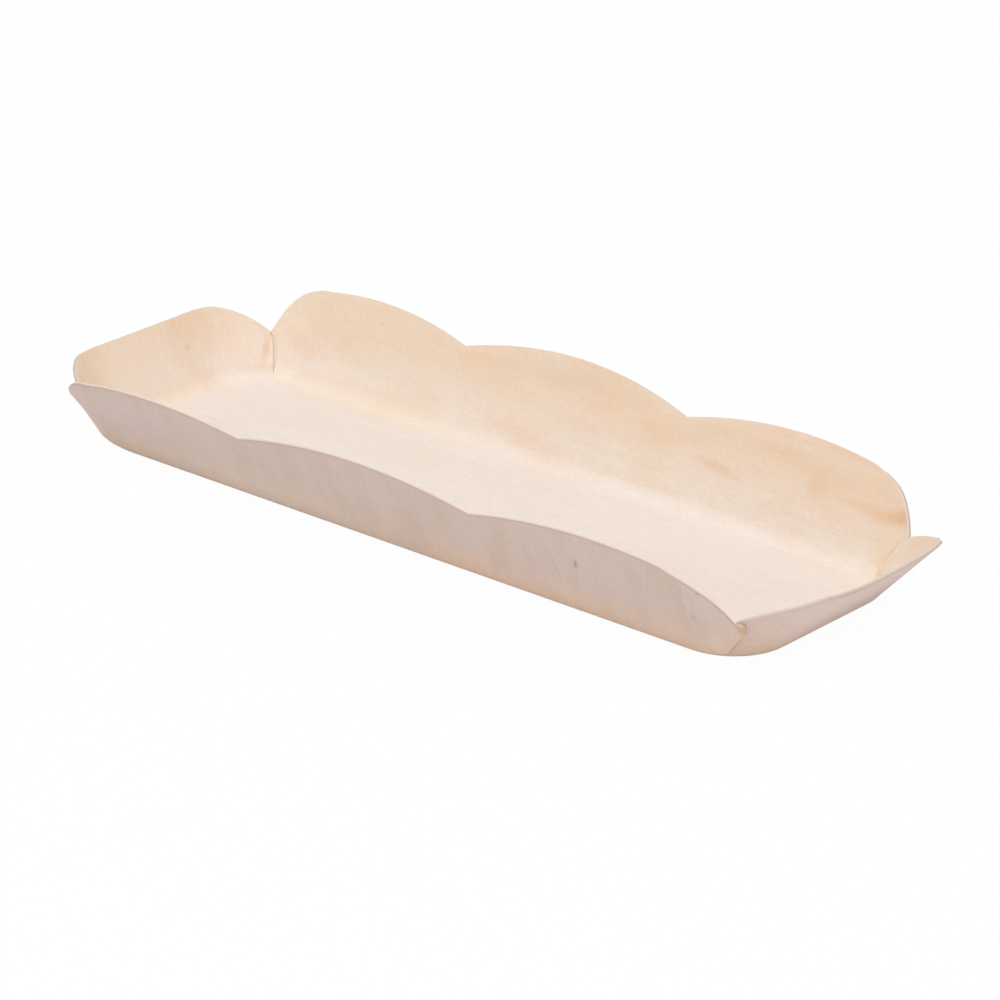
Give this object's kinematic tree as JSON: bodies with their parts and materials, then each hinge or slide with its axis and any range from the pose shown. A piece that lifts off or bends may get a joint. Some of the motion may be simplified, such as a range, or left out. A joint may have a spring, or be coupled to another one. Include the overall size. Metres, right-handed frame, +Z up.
{
  "type": "wooden snack tray",
  "caption": "Shallow rectangular serving tray pressed from crossed wood veneers, with flared scalloped long walls, lower end walls and lapped, notched corners.",
  "frame": {"origin": "on the surface that the tray stands on, under the middle of its outline", "axes": "+X along the tray towards the end with the longer lobes, +Y across it to the back, +Z up"},
  "size_m": [0.222, 0.089, 0.0247],
  "materials": {
    "outer_veneer": "raw sliced veneer, matt, grain across the tray",
    "inner_veneer": "raw sliced veneer, matt, grain along the tray",
    "glue": "set wood glue, pale amber"
  },
  "bodies": {
    "root": {"outer_ply": "outer_veneer", "glue_film": "glue", "inner_ply": "inner_veneer", "corner_glue_front_left": "glue", "corner_glue_back_left": "glue", "corner_glue_front_right": "glue", "corner_glue_back_right": "glue"}
  },
  "joints": []
}
